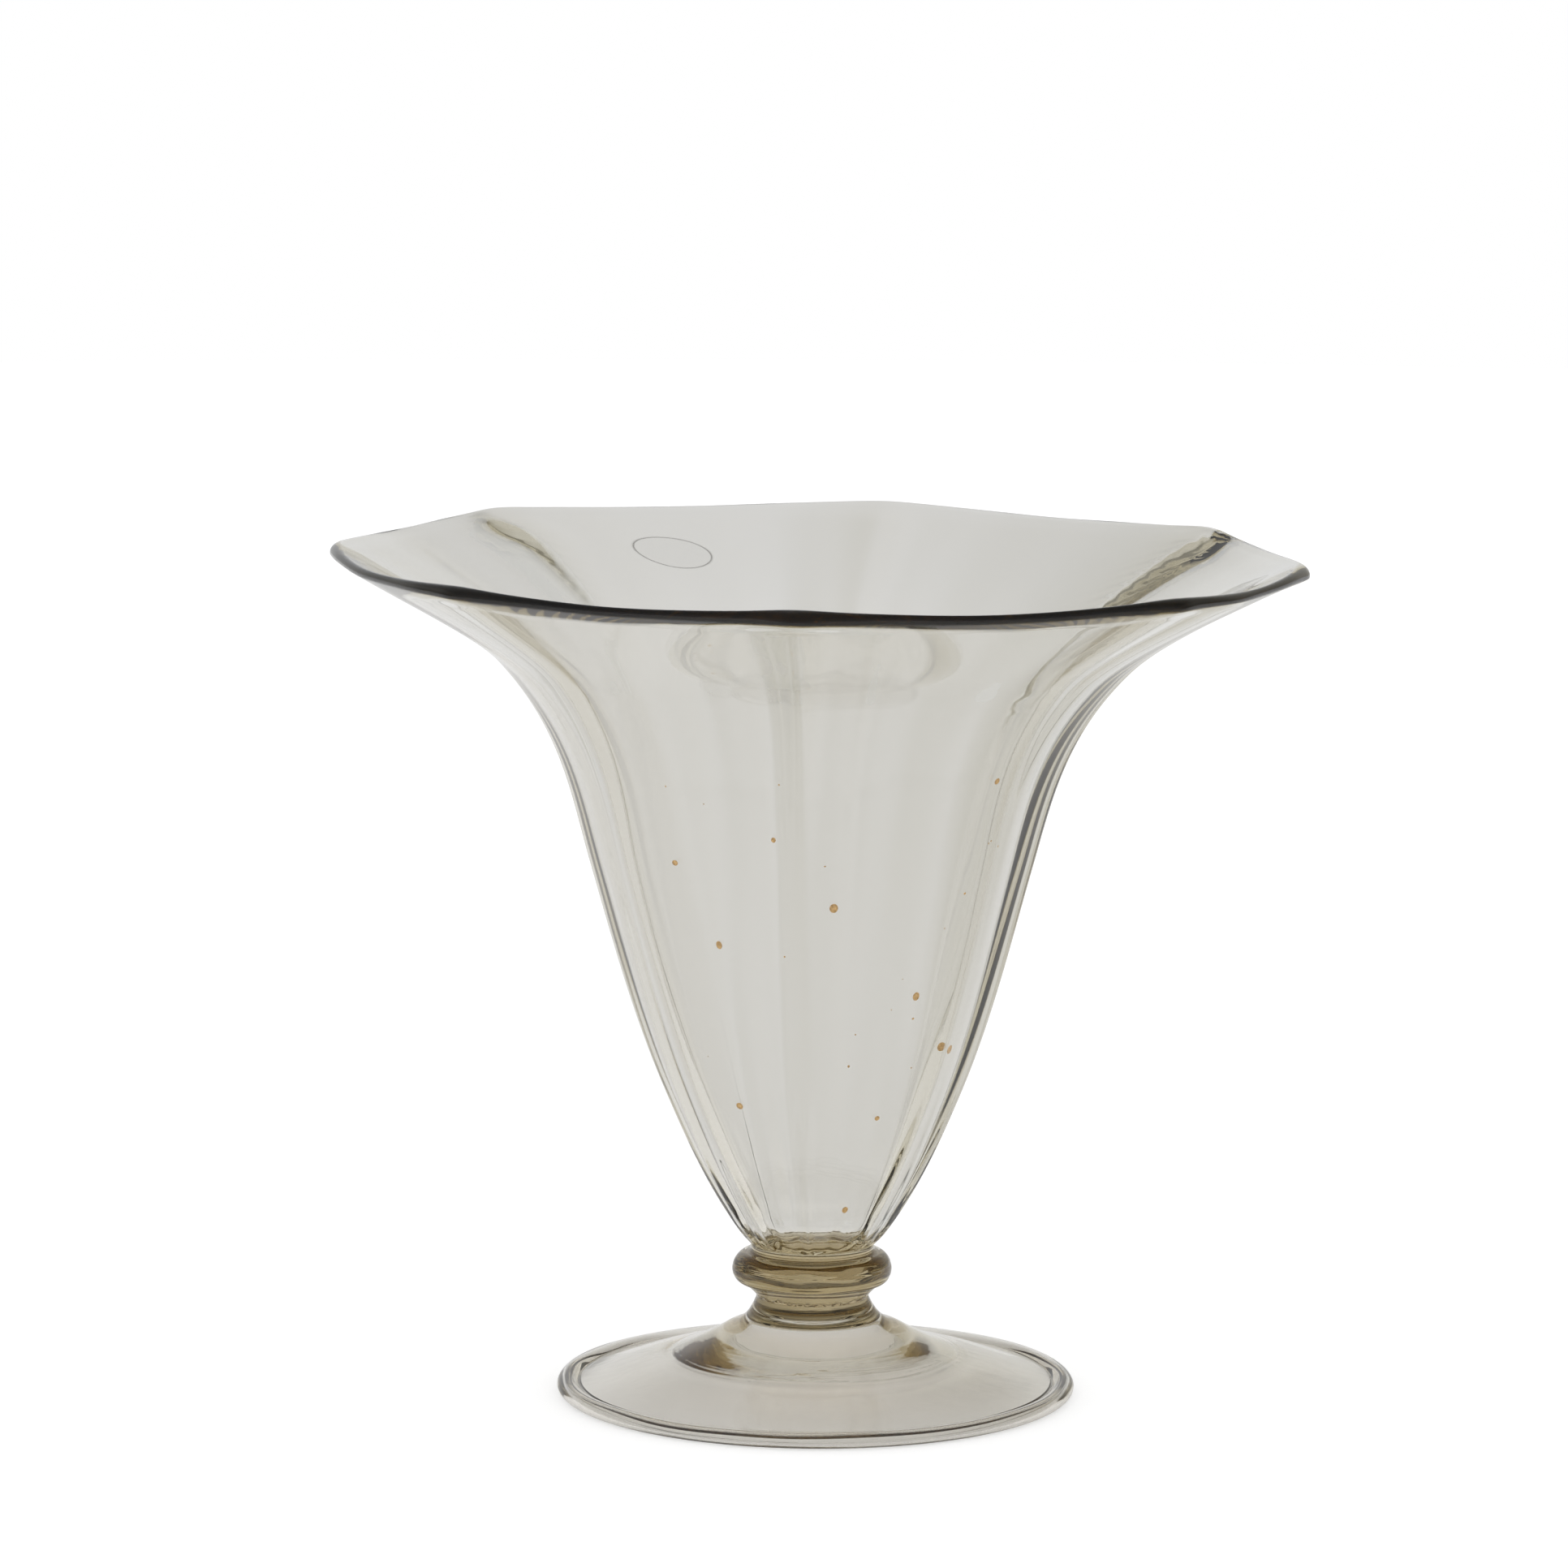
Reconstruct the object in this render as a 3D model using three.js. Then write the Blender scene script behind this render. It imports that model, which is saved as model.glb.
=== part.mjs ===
// Trumpet vase of hand-blown, straw-tinted glass, in millimetres, +Z up.
// Four gathers of glass are joined hot: a ribbed bowl, a collar wound round a short stem, and a folded foot.
// The origin is on the vase's axis, in the plane that the foot rests on. +X is to the right, seen from -Y.
import * as THREE from 'three';

// Foot: a bell that runs out into a shallow dish, with its edge folded into a bead
const footRadius = 67.5;
const footWall = 2.6;
const neckHeight = 25.25; // the weld between foot and stem
const neckRadius = 14.6;
const neckFall = -2.4; // slopes of the foot are height over radius
const bellRadius = 24;
const bellHeight = 16.7;
const bellFall = -0.6;
const creaseRadius = 38; // where bell and dish meet
const creaseHeight = 10.2;
const creaseFall = -0.36;
const dishEndFall = -0.2;
const foldWidth = 5.8;
const foldHeight = 4.2;
const restWidth = 2; // flat ring ground on the bead's underside
const crownThickness = 6; // solid glass between the hollow's roof and the neck
const roofRadius = 15;
const hollowDrop = 5.8; // from the roof down the steep upper wall of the hollow
const hollowReach = 5.5; // from the roof's edge out to the foot of that wall
const hollowFall = -1;
const brimDrop = 2.5; // from there to where the hollow runs out under the bell
const brimReach = 4;
const brimFall = -0.36;
const pontilRadius = 9.2; // scar of the rod that held the vase while its lip was worked
const pontilDepth = 0.6;

// Stem: a solid spool, with a shoulder for the collar and a core that the collar is wound on
const coreRadius = 13.2;
const shoulderRise = 3.9; // from the neck to the shoulder
const shoulderLand = 5; // how far the shoulder stands out from the core
const neckFillet = 1.2;

// Collar: a D-section ring
const collarFit = 0.3; // clearance round the core
const collarTopLand = 2.75;
const collarBulge = 4.7; // from the top land out to the widest circle
const collarLowerHeight = 3.65; // from the shoulder up to the widest circle
const collarUpperHeight = 4.5; // from the widest circle up to the bowl

// Bowl: outer wall at mid-panel, by a height above its seat and depths below its lip.
// Slopes of the bowl are radius over height.
const lipHeight = 216.55; // of the outer wall's end, midway between two ribs
const seatRadius = 14.5;
const seatFlare = 0.785;
const bellyRise = 42.7;
const bellyRadius = 37.6;
const bellyFlare = 0.406;
const throatDepth = 76.55;
const throatRadius = 55.75;
const throatFlare = 0.27;
const trumpetDepth = 26.55;
const trumpetRadius = 78.4;
const trumpetFlare = 0.94;
const lipRadius = 121.7;
const lipFlare = 1.78;
const bowlWall = 2.9;
const lipBead = 2.7; // thickness of the fire-polished edge
const beadLength = 9; // length of wall over which the wall comes to that thickness
const floorRise = 1.6; // solid glass under the bowl's floor
const floorFillet = 2.4;

// Ribs: eight corners that grow with the wall's radius, each a little off its eighth of a turn, as hand work is
const ribDrift = [-5, -10.6, -8.4, -6.3, -2, -0.9, -2.8, -1.5]; // degrees, anticlockwise from +X
const ribRise = 4.2; // at the lip, on the outer wall
const ribRiseInside = 2.6; // the inner wall is smoother, so the glass is thicker in the ribs
const ribSoftness = 0.22; // 0 is a sharp corner
const ribSoftnessInside = 0.5;
const ridgeAtSeat = 0.6; // how far a rib's ridge stands out of its corner
const ridgeAtLip = 1.6;
const ridgeReachAtSeat = 0.8; // half the width of the ridge
const ridgeReachAtLip = 4.6;
const lipWave = 1.75; // how much higher the lip stands at a rib than between two
const lipTilt = 0.65; // degrees, down towards +X
const lipShift = 1.2; // the lip's centre stands off the axis towards +X

// Facets
const panelSteps = 8;
const panelGathering = 0.75; // draws the steps of a panel towards its ribs; 0 leaves them even
const turnedSegments = 48;
const spanSteps = 6;
const beadSteps = 4;
const arcSteps = 4;

// Heights and radii that follow
const shoulderHeight = neckHeight + shoulderRise;
const shoulderRadius = coreRadius + shoulderLand;
const collarWidestHeight = shoulderHeight + collarLowerHeight;
const seatHeight = collarWidestHeight + collarUpperHeight;
const collarBore = coreRadius + collarFit;
const collarTopRadius = collarBore + collarTopLand;
const collarRadius = collarTopRadius + collarBulge;
const throatHeight = lipHeight - throatDepth;
const trumpetHeight = lipHeight - trumpetDepth;
const floorHeight = seatHeight + floorRise;
const roofHeight = neckHeight - crownThickness;

const point = (radius, height) => new THREE.Vector2(radius, height);

// A wall's station: a point of its outline and the slope there, as radius and height per unit of travel
const upward = (radius, height, flare) => ({ at: point(radius, height), way: point(flare, 1) });
const outward = (radius, height, fall) => ({ at: point(radius, height), way: point(1, fall) });

// Cubic spans through stations: each handle follows the slope for a third of the span's travel
function spansThrough(stations, travelOf) {
  return stations.slice(1).map((end, index) => {
    const start = stations[index];
    const third = (travelOf(end.at) - travelOf(start.at)) / 3;
    return new THREE.CubicBezierCurve(
      start.at,
      start.at.clone().addScaledVector(start.way, third),
      end.at.clone().addScaledVector(end.way, -third),
      end.at,
    );
  });
}

// Points and tangents along spans, with the points that two spans share given once
function samples(spans, steps) {
  return spans.flatMap((curve, index) => {
    const first = index === 0 ? 0 : 1;
    const shares = Array.from({ length: steps + 1 - first }, (_, step) => (step + first) / steps);
    return shares.map((share) => ({ at: curve.getPoint(share), tangent: curve.getTangent(share) }));
  });
}

const arc = (radius, height, width, rise, from, to, steps) =>
  new THREE.EllipseCurve(radius, height, width, rise, from, to, from > to).getPoints(steps);

// A solid of revolution about +Z from an outline that runs up the outside
function turned(outline, segments) {
  return new THREE.LatheGeometry(outline, segments).rotateX(Math.PI / 2);
}

// Crest of a rib: 1 on the rib, 0 midway to the next, with flat panels between and a rounded corner
function crest(share, softness) {
  const across = Math.sin(Math.PI * share);
  const low = Math.hypot(1, softness);
  return (low - Math.hypot(softness, across)) / (low - softness);
}

// Ridge of a rib, as a share of its height: a bell curve across the rib
const ridge = (apart, reach) => Math.exp(-0.5 * (apart / reach) ** 2);

const ribCount = ribDrift.length;
const ribBearing = (rib) =>
  THREE.MathUtils.degToRad((360 / ribCount) * rib + ribDrift[rib % ribCount]);

// The bowl's outline: seat, outer wall, round lip, inner wall and floor.
// Each point also says how far it belongs to the outer wall, from 1 outside to 0 inside.
function bowlOutline() {
  const wall = samples(
    spansThrough(
      [
        upward(seatRadius, seatHeight, seatFlare),
        upward(bellyRadius, seatHeight + bellyRise, bellyFlare),
        upward(throatRadius, throatHeight, throatFlare),
        upward(trumpetRadius, trumpetHeight, trumpetFlare),
        upward(lipRadius, lipHeight, lipFlare),
      ],
      (at) => at.y,
    ),
    spanSteps,
  );
  const lip = wall[wall.length - 1];
  const inward = (tangent) => point(-tangent.y, tangent.x);
  const thickness = (at) => {
    const nearLip = THREE.MathUtils.clamp(1 - at.distanceTo(lip.at) / beadLength, 0, 1);
    return bowlWall + (lipBead - bowlWall) * nearLip;
  };
  const outer = wall.map(({ at }) => ({ at, outside: 1 }));
  const inner = wall.map(({ at, tangent }) => ({
    at: at.clone().addScaledVector(inward(tangent), thickness(at)),
    outside: 0,
  }));
  const beadMiddle = lip.at.clone().addScaledVector(inward(lip.tangent), lipBead / 2);
  const bead = Array.from({ length: beadSteps - 1 }, (_, step) => {
    const share = (step + 1) / beadSteps;
    const turn = Math.PI * share;
    const at = beadMiddle
      .clone()
      .addScaledVector(inward(lip.tangent), (-lipBead / 2) * Math.cos(turn))
      .addScaledVector(lip.tangent, (lipBead / 2) * Math.sin(turn));
    return { at, outside: 1 - share };
  });
  const above = inner.reverse().filter(({ at }) => at.y > floorHeight + floorFillet);
  const lowest = above[above.length - 1].at;
  const floor = new THREE.QuadraticBezierCurve(
    lowest,
    point(lowest.x - floorFillet / 2, floorHeight),
    point(lowest.x / 2, floorHeight),
  )
    .getPoints(arcSteps - 1)
    .slice(1);
  return [
    { at: point(0, seatHeight), outside: 1 },
    ...outer,
    ...bead,
    ...above,
    ...floor.map((at) => ({ at, outside: 0 })),
    { at: point(0, floorHeight), outside: 0 },
  ];
}

// The bowl is turned from its outline, then each vertex is moved out to its rib or panel.
// On the outer wall each rib also has a ridge, which grows from the seat to the lip.
// Above the throat the lip's wave, tilt and shift come in with the square of the height.
function bowlGeometry() {
  const outline = bowlOutline();
  const geometry = turned(
    outline.map(({ at }) => at),
    ribCount * panelSteps,
  );
  const position = geometry.attributes.position;
  for (let index = 0; index < position.count; index += 1) {
    const step = Math.floor(index / outline.length);
    const { at, outside } = outline[index % outline.length];
    const rib = Math.floor(step / panelSteps);
    const even = (step % panelSteps) / panelSteps;
    const share = even - (panelGathering * Math.sin(2 * Math.PI * even)) / (2 * Math.PI);
    const [start, end] = [ribBearing(rib), ribBearing(rib + 1)];
    const bearing = THREE.MathUtils.lerp(start, end, share);
    const softness = THREE.MathUtils.lerp(ribSoftnessInside, ribSoftness, outside);
    const rise = THREE.MathUtils.lerp(ribRiseInside, ribRise, outside) * (at.x / lipRadius);
    const ribHeight = crest(share, softness);
    const up = THREE.MathUtils.clamp((at.y - seatHeight) / (lipHeight - seatHeight), 0, 1);
    const apart = Math.min(share, 1 - share) * (end - start) * at.x;
    const reach = THREE.MathUtils.lerp(ridgeReachAtSeat, ridgeReachAtLip, up);
    const fromAxis = Math.min(at.x / seatRadius, 1);
    const ridgeHeight = THREE.MathUtils.lerp(ridgeAtSeat, ridgeAtLip, up) * fromAxis * outside;
    const radius = at.x + rise * ribHeight + ridgeHeight * ridge(apart, reach);
    const flared = THREE.MathUtils.clamp((at.y - throatHeight) / (lipHeight - throatHeight), 0, 1) ** 2;
    const x = radius * Math.cos(bearing);
    const fall = x * Math.tan(THREE.MathUtils.degToRad(lipTilt));
    const height = at.y + flared * (lipWave * ribHeight - fall);
    position.setXYZ(index, x + flared * lipShift, radius * Math.sin(bearing), height);
  }
  geometry.computeVertexNormals();
  return geometry;
}

// The collar is a ring whose section closes on itself: flat on the shoulder, round outside, flat under the bowl
function collarGeometry() {
  const lower = arc(
    shoulderRadius,
    collarWidestHeight,
    collarRadius - shoulderRadius,
    collarLowerHeight,
    -Math.PI / 2,
    0,
    arcSteps,
  );
  const upper = arc(
    collarTopRadius,
    collarWidestHeight,
    collarBulge,
    collarUpperHeight,
    0,
    Math.PI / 2,
    arcSteps,
  );
  return turned(
    [
      point(collarBore, shoulderHeight),
      ...lower,
      ...upper.slice(1),
      point(collarBore, seatHeight),
      point(collarBore, shoulderHeight),
    ],
    turnedSegments,
  );
}

// The stem is solid: neck, a cone up to the shoulder, and the core inside the collar
function stemGeometry() {
  return turned(
    [
      point(0, neckHeight),
      point(neckRadius, neckHeight),
      ...new THREE.QuadraticBezierCurve(
        point(neckRadius, neckHeight + neckFillet / 2),
        point(neckRadius, neckHeight + neckFillet),
        point(shoulderRadius, shoulderHeight),
      ).getPoints(arcSteps),
      point(coreRadius, shoulderHeight),
      point(coreRadius, seatHeight),
      point(0, seatHeight),
    ],
    turnedSegments,
  );
}

// The foot: its underside follows the dish a wall's thickness below, and under the bell it rises to a flat roof
function footGeometry() {
  const foldRadius = footRadius - foldWidth / 2;
  const foldMiddle = (foldHeight / 2) * Math.sqrt(1 - (restWidth / foldWidth) ** 2);
  const tuck = Math.asin(footWall / foldHeight);
  const rest = Math.asin(foldMiddle / (foldHeight / 2));
  const fold = (from, to, steps) =>
    arc(foldRadius, foldMiddle, foldWidth / 2, foldHeight / 2, from, to, steps);
  const sheetEnd = foldRadius - (foldWidth / 2) * Math.cos(tuck);
  const under = (height, fall) => height - footWall * Math.hypot(1, fall);
  const top = samples(
    spansThrough(
      [
        outward(neckRadius, neckHeight, neckFall),
        outward(bellRadius, bellHeight, bellFall),
        outward(creaseRadius, creaseHeight, creaseFall),
        outward(sheetEnd, foldMiddle + footWall / 2, dishEndFall),
      ],
      (at) => at.x,
    ),
    arcSteps,
  );
  const hollow = samples(
    spansThrough(
      [
        outward(roofRadius, roofHeight, 0),
        outward(roofRadius + hollowReach, roofHeight - hollowDrop, hollowFall),
        outward(roofRadius + hollowReach + brimReach, roofHeight - hollowDrop - brimDrop, brimFall),
        outward(creaseRadius, under(creaseHeight, creaseFall), creaseFall),
        outward(sheetEnd, foldMiddle - footWall / 2, dishEndFall),
      ],
      (at) => at.x,
    ),
    arcSteps,
  );
  const pontil = new THREE.QuadraticBezierCurve(
    point(0, roofHeight + pontilDepth),
    point(pontilRadius / 2, roofHeight + pontilDepth),
    point(pontilRadius, roofHeight),
  ).getPoints(2);
  return turned(
    [
      ...pontil,
      ...hollow.slice(0, -1).map(({ at }) => at),
      ...fold(-Math.PI + tuck, -Math.PI + rest, 2),
      ...fold(-rest, Math.PI - tuck, 2 * arcSteps),
      ...top.slice(0, -1).reverse().map(({ at }) => at),
      point(0, neckHeight),
    ],
    turnedSegments,
  );
}

function glass(color) {
  return new THREE.MeshStandardMaterial({
    color,
    roughness: 0.04,
    metalness: 0,
    transparent: true,
    opacity: 0.35,
  });
}

function piece(name, geometry, color) {
  const mesh = new THREE.Mesh(geometry, glass(color));
  mesh.name = name;
  return mesh;
}

const vase = new THREE.Group();
vase.add(
  piece('bowl', bowlGeometry(), '#d4d3cc'),
  piece('collar', collarGeometry(), '#a89a70'),
  piece('stem', stemGeometry(), '#b0a47c'),
  piece('foot', footGeometry(), '#c8c3bb'),
);

export default vase;
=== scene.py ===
"""Trumpet vase of hand-blown, straw-tinted glass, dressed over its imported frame, in metres.

Bowl, collar, stem and foot are closed skins of clear glass. Where two of them are fused, their faces are
marked as a weld and let light straight through, so that the glass looks like one piece.
"""

import bpy
import numpy as np
from mathutils import Matrix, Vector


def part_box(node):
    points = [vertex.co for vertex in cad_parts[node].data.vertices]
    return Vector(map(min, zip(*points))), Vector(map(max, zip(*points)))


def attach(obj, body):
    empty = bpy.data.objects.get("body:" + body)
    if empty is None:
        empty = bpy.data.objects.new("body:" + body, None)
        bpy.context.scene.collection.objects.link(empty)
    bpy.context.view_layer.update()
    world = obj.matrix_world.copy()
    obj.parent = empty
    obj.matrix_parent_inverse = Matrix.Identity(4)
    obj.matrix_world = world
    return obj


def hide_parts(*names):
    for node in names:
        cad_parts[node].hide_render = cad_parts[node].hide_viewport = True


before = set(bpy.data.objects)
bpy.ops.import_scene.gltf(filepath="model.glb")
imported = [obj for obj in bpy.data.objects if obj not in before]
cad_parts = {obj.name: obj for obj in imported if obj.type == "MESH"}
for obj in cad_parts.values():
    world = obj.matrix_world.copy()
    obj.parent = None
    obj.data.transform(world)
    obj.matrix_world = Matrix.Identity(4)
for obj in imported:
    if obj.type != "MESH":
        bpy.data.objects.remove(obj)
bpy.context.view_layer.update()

# Heights and radii read from the frame
SEAT_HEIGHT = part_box("bowl")[0][2]
NECK_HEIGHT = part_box("stem")[0][2]
SHOULDER_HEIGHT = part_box("collar")[0][2]
FOOT_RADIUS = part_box("foot")[1][0]
COLLAR_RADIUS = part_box("collar")[1][0]

# Bowl: outer wall midway between ribs, as rise above the seat, radius, and radius gained per rise
BOWL_STATIONS = np.array([
    [0.0, 0.0145, 0.785],
    [0.0427, 0.0376, 0.406],
    [0.1027, 0.05575, 0.27],
    [0.1527, 0.0784, 0.94],
    [0.17925, 0.1217, 1.78],
])
LIP_RISE, LIP_RADIUS = BOWL_STATIONS[-1, :2]
THROAT_RISE = BOWL_STATIONS[2, 0]
BOWL_WALL = 0.0029
BASE_WALL = 0.0031
BASE_RISE = 0.05
LIP_BEAD = 0.0025
BEAD_LENGTH = 0.006
WELD_RISE = 0.002
SEAT_BLEND = 0.003

# Bottom inside the bowl: rise above the seat, fillet to the wall, wave, and a star under the ribs
BOTTOM_RISE = 0.004
BOTTOM_FILLET = 0.006
BOTTOM_WAVE = 0.0003
BOTTOM_EDGE = 0.008
BOTTOM_STAR = 0.0004
STAR_SOFTNESS = 0.25
STAR_RISE = 0.003

# Ribs: bearings at the seat, halfway up and at the lip, and strength at the seat, the throat and the lip
RIB_RISES = (0.02, 0.08, LIP_RISE)
RIB_AT_SEAT = np.radians([-12, 42, 84, 124, 180, 230, 267, 314])
RIB_HALFWAY = np.radians([-8, 36, 83, 130, 180, 219, 267, 320])
RIB_AT_LIP = np.radians([-5, 35.2, 81.6, 130.3, 178, 224.1, 267.2, 315])
RIB_HOOK = np.radians([0, -1.5, 0, 4, 0, 0, 0, 0])
HOOK_RISE = 0.012
RIB_STRENGTH = np.array([
    [0.45, 0.8, 0.8, 0.8, 0.1, 1.2, 0.9, 0.85],
    [0.45, 0.2, 0.8, 0.8, 0.1, 1.2, 0.9, 0.85],
    [0.5, 1.35, 0.4, 1.0, 0.4, 0.5, 0.9, 0.65],
])
RIB_WIDTH_AT_LIP = np.array([1.0, 1.7, 1.0, 1.2, 1.0, 1.0, 1.0, 1.0])

# Section of a rib: rise above the seat, half its width, and how far it stands out
RIB_SECTION = np.array([
    [0.0, 0.0008, 0.0007],
    [0.025, 0.00095, 0.0007],
    [0.055, 0.0028, 0.00045],
    [0.11, 0.0024, 0.00055],
    [0.145, 0.0028, 0.0011],
    [0.1585, 0.0032, 0.0018],
    [0.1685, 0.0040, 0.0028],
    [0.175, 0.0046, 0.0034],
    [LIP_RISE, 0.0046, 0.0016],
])

# Corners that the ribs make of the round wall, outside and inside, measured at the lip
CORNER_RISE = 0.0033
CORNER_SHARE_INSIDE = (0.8, 0.7)
CORNER_SOFTNESS = 0.22
CORNER_SOFTNESS_INSIDE = 0.5

# Lip: rise at the corners, how much thicker each corner is, tilt and shift
LIP_WAVE = 0.0014
LIP_BUMP = 0.0004
LIP_BUMP_ANGLE = np.radians(3)
LIP_CORNER = np.array([1.2, 0.3, 0.0, 0.3, 0.8, 0.8, 1.1, 0.9]) / 1000
LIP_CORNER_ANGLE = np.radians(5)
LIP_CORNER_RISE = 0.004
LIP_TILT = np.radians(0.65)
LIP_SHIFT = 0.0012

# Jack marks across the ribs of the flare
JACK_MARK = 0.00022
JACK_STEP = 0.0046
JACK_SLANT = 0.0075
JACK_RISE = 0.1485
JACK_FADE = 0.01
JACK_STRENGTH = np.array([0.1, 0.35, 0.0, 0.2, 0.1, 0.0, 0.0, 0.1])

# Blank oval sticker on the far flare: bearing and rise of its middle, half its angle and half its rise
STICKER_PLACE = (np.radians(112.1), 0.1697)
STICKER_SIZE = (np.radians(6.1), 0.0035)
STICKER_LEAN = 0.0008
STICKER_LIFT = 0.00003
STICKER_FILM = 0.00008
STICKER_ROWS = np.concatenate([[0], np.linspace(0.3, 0.86, 5), np.linspace(0.9, 1.0, 9)])

# Finish of the sticker: how much of its grey shows by the way out from its middle, and its film's cords
STICKER_GREY = (0.3, 0.3, 0.3, 1)
STICKER_EDGE = [(0.0, 0.02), (0.92, 0.02), (0.94, 0.4), (0.96, 0.4), (0.98, 0.03), (1.0, 0.1)]
STICKER_ROUGHNESS = 0.4
STICKER_CORDS = (900, 1, 0.00001)

# Specks seen in the near wall: bearing in degrees, rise above the seat, and half their width
SPECKS_SEEN = np.array([
    [233, 0.109, 0.0008], [243, 0.088, 0.0009], [276, 0.099, 0.0011], [304, 0.074, 0.0010],
    [323, 0.058, 0.0012], [240, 0.044, 0.0010], [290, 0.015, 0.0008], [297, 0.041, 0.0007],
    [261, 0.117, 0.0006], [316, 0.13, 0.0007],
])

# Scattered specks: number, seed, and ranges of their bearing in degrees, rise and half width
SPECKS_SCATTERED = 16
SPECK_SEED = 15
SPECK_BEARINGS = (230, 325)
SPECK_RISES = (0.03, 0.135)
SPECK_WIDTHS = (0.00014, 0.0004)

# All specks: range of height over width, place in the wall, and finish, whose glow is painted light
SPECK_TALLNESS = (0.7, 1.2)
SPECK_DEPTH = -0.0013
SPECK_GRAIN = 1500
SPECK_COLOURS = [(0.3, (0.24, 0.14, 0.05)), (0.7, (0.5, 0.32, 0.13))]
SPECK_PAINTED_GLOW = 0.8
SPECK_ROUGHNESS = 0.5

# Collar, with threads at turns up and down from its widest place
COLLAR_TOP_RADIUS = 0.01625
COLLAR_TOP_TURN = np.radians(72)
COLLAR_LOWER_HEIGHT = 0.00365
COLLAR_FILLET = 0.0008
THREAD_TURNS = np.radians([-34, 16])
THREAD_DEPTH = np.array([0.00006, 0.00005])
THREAD_WIDTH = 0.00026

# Stem, with a seam round its neck
CORE_RADIUS = 0.0132
NECK_RADIUS = 0.0146
SHOULDER_RADIUS = 0.0182
NECK_FILLET = 0.0012
SEAM_RISE = 0.0004
SEAM_DEPTH = 0.00022
SEAM_DEPTH_SWAY = 0.6
SEAM_WIDTH = 0.00022

# Foot: top face as radius, height, and height gained per radius
FOOT_STATIONS = np.array([
    [NECK_RADIUS, NECK_HEIGHT, -2.4],
    [0.024, 0.0167, -0.6],
    [0.0385, 0.0100, -0.34],
    [0.0415, 0.0091, -0.24],
])
DISH_END_FALL = -0.22
FOOT_WALL = 0.0026
EDGE_WALL = 0.002

# Hollow under the foot: radius, height above its roof, and height gained per radius
HOLLOW_STATIONS = np.array([
    [0.0, 0.0014, 0.0],
    [0.0112, 0.0013, -0.05],
    [0.0127, 0.0001, -0.9],
    [0.0138, 0.0, 0.0],
    [0.0150, -0.0001, -0.02],
    [0.0168, -0.0012, -1.3],
    [0.0205, -0.0054, -0.95],
    [0.0245, -0.00775, -0.36],
    [0.0345, -0.01085, -0.3],
])
CROWN_THICKNESS = 0.006
HOLLOW_LEAN = -0.0004
LEAN_SPAN = (0.028, 0.038)

# Bead folded at the foot's edge: its size, its middle, and the angles where it meets the dish and the floor
FOLD_WIDTH = 0.0058
FOLD_HEIGHT = 0.0042
REST_WIDTH = 0.002
FOLD_RADIUS = FOOT_RADIUS - FOLD_WIDTH / 2
FOLD_MIDDLE = FOLD_HEIGHT / 2 * np.sqrt(1 - (REST_WIDTH / FOLD_WIDTH) ** 2)
FOLD_TUCK = np.arcsin(EDGE_WALL / FOLD_HEIGHT)
FOLD_REST = np.arcsin(FOLD_MIDDLE / (FOLD_HEIGHT / 2))
SHEET_END = FOLD_RADIUS - FOLD_WIDTH / 2 * np.cos(FOLD_TUCK)

# Air channel inside the bead: half its width and height, and how far out and up its middle is
CHANNEL_SIZE = (0.0013, 0.0012)
CHANNEL_OFFSET = (0.0006, 0.00015)

# Faint rings on the foot's top: seeded steps along the radius, drift round the axis, and how they fade
RING_SEED = 8
RING_COUNT = 9
RING_STEPS = (0.0006, 0.0016)
RING_DEPTH = 0.000008
RING_SPAN = (0.017, 0.0395)
RING_SPAN_FADE = 0.004
RING_DRIFT = 0.9
RING_DRIFT_SEEDS = 1000
RING_DRIFT_TURNS = range(1, 6)
RING_SHOWN = (0.55, 0.45)

# Crease on the foot's top, and the groove beside the bead
CREASE_RADIUS = 0.0372
CREASE_SWAY = 0.01
CREASE_DEPTH = 0.00006
CREASE_WIDTH = 0.0003
GROOVE_OFFSET = 0.0004
GROOVE_ZONE = 4 * GROOVE_OFFSET
GROOVE_DEPTH = 0.00024
GROOVE_WIDTH = 0.00015

# How far hot glass sways from its shape, and where the foot's sway up and down starts
OUTER_SWAY = 0.0002
INNER_SWAY = 0.0002
COLLAR_SWAY = 0.00018
THREAD_SWAY = 0.00025
SEAM_SWAY = 0.0003
CHANNEL_SWAY = 0.00022
FOOT_SWAY = 0.00012
FOOT_SWAY_START = 0.03
FOOT_SWAY_WIDTH = 0.02
FOOT_SWAY_RISE = 0.003

# Patterns of sway: seed, turns round the axis, and the most waves along the travel
OUTER_PATTERN = (3, range(9, 28), 0.6)
INNER_PATTERN = (24, range(7, 26), 0.6)
BOTTOM_PATTERN = (11, range(5, 19), 0)
COLLAR_PATTERN = (5, range(1, 9), 0.8)
THREAD_PATTERNS = [(20, range(1, 6), 0), (21, range(1, 6), 0)]
SEAM_PATTERN = (6, range(4, 23), 0)
SEAM_DEPTH_PATTERN = (7, range(9, 40), 0)
RING_PATTERN = (9, range(1, 7), 2)
CREASE_PATTERN = (12, range(1, 7), 0)
FOOT_PATTERN = (10, range(2, 7), 0)
CHANNEL_PATTERN = (13, range(2, 15), 0)

# How far the vase's middle stands off the axis: height, distance towards +X, and distance per height
MIDDLE_STATIONS = np.array([
    [-0.001, 0.0015, 0.0],
    [0.012, 0.0014, -0.03],
    [NECK_HEIGHT, 0.0006, -0.02],
    [0.05, 0.0006, 0.0],
    [0.15, -0.0004, 0.0],
    [0.23, 0.0, 0.0],
])

# The slit between two fused pieces, which only keeps their faces from lying on each other
WELD_GAP = 0.00002

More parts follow.
